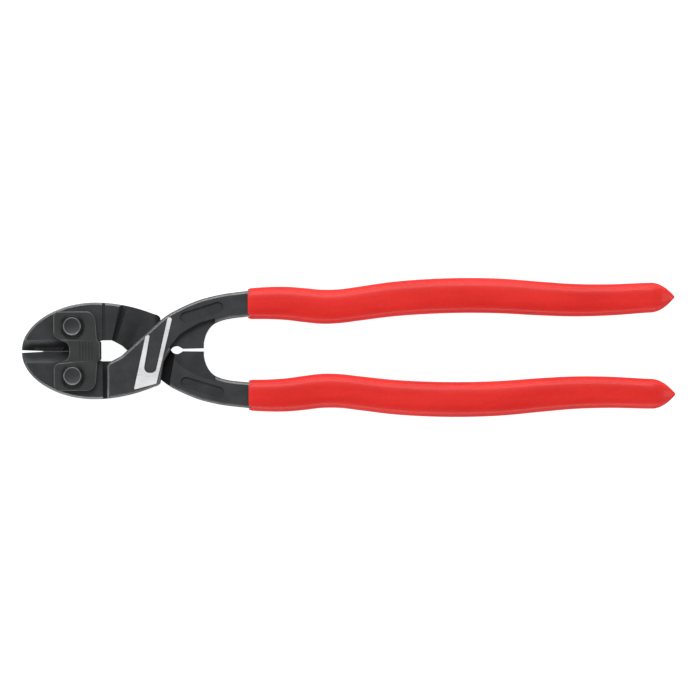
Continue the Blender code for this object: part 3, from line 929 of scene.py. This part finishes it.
# Fine teeth beside the cutting edge keep a wire from sliding out.
teeth_tree = bpy.data.node_groups.new("edge_teeth", "GeometryNodeTree")
sockets = {}
for name, kind in (
    ("Count", "NodeSocketInt"),
    ("Pitch", "NodeSocketFloat"),
    ("Radius", "NodeSocketFloat"),
    ("Height", "NodeSocketFloat"),
    ("Material", "NodeSocketMaterial"),
):
    item = teeth_tree.interface.new_socket(name, in_out="INPUT", socket_type=kind)
    sockets[name] = item.identifier
teeth_tree.interface.new_socket("Geometry", in_out="OUTPUT", socket_type="NodeSocketGeometry")
given = teeth_tree.nodes.new("NodeGroupInput")
row = teeth_tree.nodes.new("GeometryNodeMeshLine")
step_along = teeth_tree.nodes.new("ShaderNodeCombineXYZ")
tooth = teeth_tree.nodes.new("GeometryNodeMeshCone")
tooth.inputs["Vertices"].default_value = 4
tooth.inputs["Radius Top"].default_value = TOOTH_TOP_RADIUS
placed = teeth_tree.nodes.new("GeometryNodeInstanceOnPoints")
real = teeth_tree.nodes.new("GeometryNodeRealizeInstances")
skinned = teeth_tree.nodes.new("GeometryNodeSetMaterial")
result = teeth_tree.nodes.new("NodeGroupOutput")
for start, end in (
    (given.outputs["Count"], row.inputs["Count"]),
    (given.outputs["Pitch"], step_along.inputs["X"]),
    (step_along.outputs[0], row.inputs["Offset"]),
    (given.outputs["Radius"], tooth.inputs["Radius Bottom"]),
    (given.outputs["Height"], tooth.inputs["Depth"]),
    (row.outputs["Mesh"], placed.inputs["Points"]),
    (tooth.outputs["Mesh"], placed.inputs["Instance"]),
    (placed.outputs["Instances"], real.inputs["Geometry"]),
    (real.outputs["Geometry"], skinned.inputs["Geometry"]),
    (given.outputs["Material"], skinned.inputs["Material"]),
    (skinned.outputs["Geometry"], result.inputs["Geometry"]),
):
    teeth_tree.links.new(start, end)


def row_of_teeth(name, place):
    """A row of small blunt teeth along X from this place, in the tool's measures."""
    piece = stand(name, bpy.data.meshes.new(name))
    nodes = piece.modifiers.new("teeth", "NODES")
    nodes.node_group = teeth_tree
    for input_name, value in (
        ("Count", TOOTH_COUNT),
        ("Pitch", TOOTH_PITCH),
        ("Radius", TOOTH_RADIUS),
        ("Height", TOOTH_HEIGHT),
        ("Material", rubbed_black),
    ):
        nodes[sockets[input_name]] = value
    mesh = made_mesh(piece)
    mesh.transform(to_row @ place)
    return stand(name, mesh)


band_tilt = math.atan2(half_jaw - BAND_STEP - EDGE_LAND, BEVEL_BAND - LAND_INSET)
for name, start, from_edge, side in (
    ("front_teeth", 5.0 * MM, 0.55 * MM, 1),
    ("front_fine_teeth", 5.4 * MM, 1.15 * MM, 1),
    ("back_teeth", 5.0 * MM, 0.55 * MM, -1),
):
    height = (from_edge - LAND_INSET) * math.tan(band_tilt) + EDGE_LAND
    on_band = Vector((start, from_edge, height))
    lie = Matrix.Translation(on_band) @ Matrix.Rotation(band_tilt, 4, "X")
    if side < 0:
        lie = Matrix.Scale(-1, 4, (0, 0, 1)) @ lie
    teeth = row_of_teeth(f"upper_{name}", lie)
    lower_teeth = twin_of(teeth, f"lower_{name}")
    for row_made, body in ((teeth, "upper_jaw_body"), (lower_teeth, "lower_jaw_body")):
        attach(row_made, body)
lower_jaw = twin_of(jaw, "lower_jaw_blade")
for piece, node, body in (
    (jaw, "upper_jaw", "upper_jaw_body"),
    (lower_jaw, "lower_jaw", "lower_jaw_body"),
):
    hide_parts(node)
    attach(piece, body)


# ---- Link plates ----------------------------------------------------------------
# Blanked steel plates, notched round the bevel band, one on each face. They hold the
# jaw bolts and so keep both jaws together.

plate_low, plate_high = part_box("front_link_plate")
plate_front = plate_low.x - tip.x
plate_rear = plate_high.x - tip.x
plate_top = plate_high.y
half_outline = [
    (18.4 * MM, BEVEL_BAND, 4.2 * MM),
    (plate_front, BEVEL_BAND + 0.2 * MM, 2.4 * MM),
    (plate_front, plate_top, 2.2 * MM),
    (plate_rear - 1.9 * MM, plate_top, 3.7 * MM),
    (plate_rear - 1.1 * MM, BEVEL_BAND, 0.6 * MM),
    (plate_rear, BEVEL_BAND - 1.2 * MM, 0.6 * MM),
]
other_half = [(x, -y, radius) for x, y, radius in reversed(half_outline)]


def press_marks(place):
    """Five faint dark lines across the plate's middle, left by the blanking tool."""
    x, y = place.axis(0) - tip.x, abs(place.axis(1))
    lines = abs(((x - 21.9 * MM) * (1 / (1.15 * MM))).fraction() - 0.5)
    inside = x.ramp(21.9 * MM, 22.1 * MM) - x.ramp(27.4 * MM, 27.6 * MM)
    return (1 - lines.ramp(0.06, 0.14)) * inside * (1 - y.ramp(3.6 * MM, 4.2 * MM)) * 0.75


plate_side = rounded(half_outline + other_half, 12)
plate = edged_blank("front_plate", plate_side, (plate_high.z - plate_low.z) / 2, 0.45 * MM, 3)
plate.data.transform(Matrix.Translation((0, 0, (plate_high.z + plate_low.z) / 2 - tip.z)))
plate_black = blackened(
    "plate_black", (0.034, 0.040, 0.038, 1), (0.050, 0.057, 0.055, 1), 0.50, press_marks
)
plate.data.materials.append(plate_black)
plate.data.materials.append(rubbed_black)
for side in (1, -1):
    centre = Vector((jaw_pivot.x, side * jaw_pivot.y))
    plate = work(plate, "DIFFERENCE", round_cutter("plate_bore", BORE_RADIUS, centre))
plate = settle(plate)
back_plate = twin_of(plate, "back_plate")
for piece, node in ((plate, "front_link_plate"), (back_plate, "back_link_plate")):
    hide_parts(node)
    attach(piece, "link")


# ---- Jaw bolts ------------------------------------------------------------------
# One bolt for each jaw, turned from bar. Each end is closed over its plate as a low
# cone with a flat top and a fine ring where the tool pressed. The ring is coloured bright
# steel, a painted highlight, and the cone's flank near black, a painted shade.

bolt_low, bolt_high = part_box("upper_jaw_bolt")
head_top = bolt_high.z - tip.z
head_radius = (bolt_high.x - bolt_low.x) / 2
head_base = plate_high.z - tip.z + REST_GAP
bolt_black = blackened(
    "bolt_black", (0.032, 0.034, 0.036, 1), (0.050, 0.052, 0.054, 1), 0.50
)
# Near black for the cone's flank and rim: painted shade.
flank_painted_shade = blackened(
    "flank_painted_shade", (0.004, 0.004, 0.005, 1), (0.010, 0.010, 0.011, 1), 0.50
)
head = [
    (0, head_top - 0.05 * MM),
    (2.95 * MM, head_top - 0.05 * MM),
    (3.05 * MM, head_top),
    (3.25 * MM, head_top),
    (3.42 * MM, head_top - 0.15 * MM),
    (3.95 * MM, head_base + 0.62 * MM),
    (4.40 * MM, head_base + 0.42 * MM),
    (head_radius - 0.06 * MM, head_base + 0.30 * MM),
    (head_radius, head_base + 0.22 * MM),
    (head_radius, head_base + 0.08 * MM),
    (head_radius - 0.08 * MM, head_base),
    (3.5 * MM, head_base),
]
profile = head + [(radius, -height) for radius, height in reversed(head)]


def turned_bolt(name, centre):
    """The bolt's profile spun about its own axis."""
    mesh = bpy.data.meshes.new(name)
    edges = [(index, index + 1) for index in range(len(profile) - 1)]
    mesh.from_pydata([(radius, 0, height) for radius, height in profile], edges, [])
    piece = stand(name, mesh)
    screw = piece.modifiers.new("turn", "SCREW")
    screw.steps = screw.render_steps = 96
    screw.use_merge_vertices = True
    screw.merge_threshold = 0.001 * MM
    mesh = made_mesh(piece)
    mesh.transform(to_row @ Matrix.Translation((centre.x, centre.y, 0)))
    for skin in (bolt_black, edge_steel, flank_painted_shade):
        mesh.materials.append(skin)
    for face in mesh.polygons:
        reach = (face.center - to_row @ Vector((centre.x, centre.y, 0))).xy.length
        # Faces on the ring take bright steel, a painted highlight; those beyond it take the
        # flank's near black, a painted shade.
        if abs(face.center.z - tip.z) > head_base - 0.01 * MM and reach > 2.95 * MM:
            face.material_index = 1 if reach < 3.42 * MM else 2
    piece = stand(name, mesh)
    mesh.shade_smooth()
    mesh.set_sharp_from_angle(angle=math.radians(30))
    return piece


for side, node in ((1, "upper_jaw_bolt"), (-1, "lower_jaw_bolt")):
    bolt = turned_bolt(f"{node}_turned", Vector((jaw_pivot.x, side * jaw_pivot.y)))
    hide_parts(node)
    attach(bolt, "link")


# ---- Sleeves --------------------------------------------------------------------
# Each tang is dipped in liquid vinyl and cured: a glossy red skin, thicker than paint,
# with a rolled lip at the mouth, faint flow marks along it and a closed point.

SLEEVE_POWER = 3.5
LIP = 0.35 * MM
LIP_LENGTH = 0.9 * MM
TIP_NARROWING = 0.94
TIP_THINNING = 0.55
MOUTH_DEPTH = 14 * MM
stations = 220
sides = 64
rings = []
form = bmesh.new()
half_sleeve = half_thickness("upper_grip") - GRIP_BULGE
sleeve_length = tool_length - GRIP_START
for step in range(stations + 1):
    share = step / stations
    x = GRIP_START + sleeve_length * (1 - (1 - share) ** 1.5)
    middle, half_width = handle_line(x)
    swell = math.sin(math.pi * (x - GRIP_START) / sleeve_length)
    half_depth = half_sleeve + GRIP_BULGE * swell
    along_tip = max(0, x - tool_length + GRIP_TIP_LENGTH) / GRIP_TIP_LENGTH
    half_width *= 1 - TIP_NARROWING * along_tip**2
    half_depth *= 1 - TIP_THINNING * along_tip**2
    from_mouth = min(1, (x - GRIP_START) / LIP_LENGTH)
    rolled = LIP * (1 - math.sqrt(1 - (1 - from_mouth) ** 2))
    half_width -= rolled
    half_depth -= rolled
    ring = []
    for side in range(sides):
        angle = 2 * math.pi * side / sides
        power = 2 / SLEEVE_POWER
        u = math.copysign(abs(math.cos(angle)) ** power, math.cos(angle))
        v = math.copysign(abs(math.sin(angle)) ** power, math.sin(angle))
        ring.append(form.verts.new(to_row @ Vector((x, middle + half_width * u, half_depth * v))))
    if rings:
        for side in range(sides):
            after = (side + 1) % sides
            form.faces.new((rings[-1][side], rings[-1][after], ring[after], ring[side]))
    rings.append(ring)
form.faces.new(rings[0])
form.faces.new(rings[-1])
bmesh.ops.recalc_face_normals(form, faces=form.faces)
sleeve_mesh = bpy.data.meshes.new("upper_sleeve")
form.to_mesh(sleeve_mesh)
form.free()
sleeve = stand("upper_sleeve", sleeve_mesh)
half_bore = half_lever + GRIP_FIT
mouth_in, mouth_out = tang_edges(GRIP_START - CUT_OVERSHOOT, GRIP_START + MOUTH_DEPTH, 12)
fit = Vector((0, GRIP_FIT))
mouth_side = [point - fit for point in mouth_in] + [point + fit for point in mouth_out[::-1]]
mouth = edged_blank("sleeve_mouth", mouth_side, half_bore, LEVER_EDGE, 4)
sleeve = work(sleeve, "DIFFERENCE", mouth)
sleeve = settle(sleeve)

red_vinyl, shader, place = finish_named("red_vinyl")
shader.inputs["Coat Roughness"].default_value = 0.12
shader.inputs["Coat Weight"].default_value = 0.1
shader.inputs["Specular IOR Level"].default_value = 0.28
flow_marks = place.stretched((30, 120, 120)).noise(1, 4, 0.55)
skin = place.noise(900, 3, 0.5)
dust = place.noise(2400, 2, 0.5).ramp(0.66, 0.8)
colour = (flow_marks * 0.75 + skin * 0.25).ramp(0.3, 0.7).mix(
    (0.62, 0.014, 0.010, 1), (0.74, 0.022, 0.017, 1)
)
wire(
    place,
    shader,
    colour,
    flow_marks * 0.12 + dust * 0.06 + 0.43,
    flow_marks * 0.8 + skin * 0.12,
    0.30,
    0.20 * MM,
)
sleeve.data.materials.clear()
sleeve.data.materials.append(red_vinyl)
lower_sleeve = twin_of(sleeve, "lower_sleeve")
for piece, node, body in (
    (sleeve, "upper_grip", "upper_handle"),
    (lower_sleeve, "lower_grip", "lower_handle"),
):
    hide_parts(node)
    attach(piece, body)
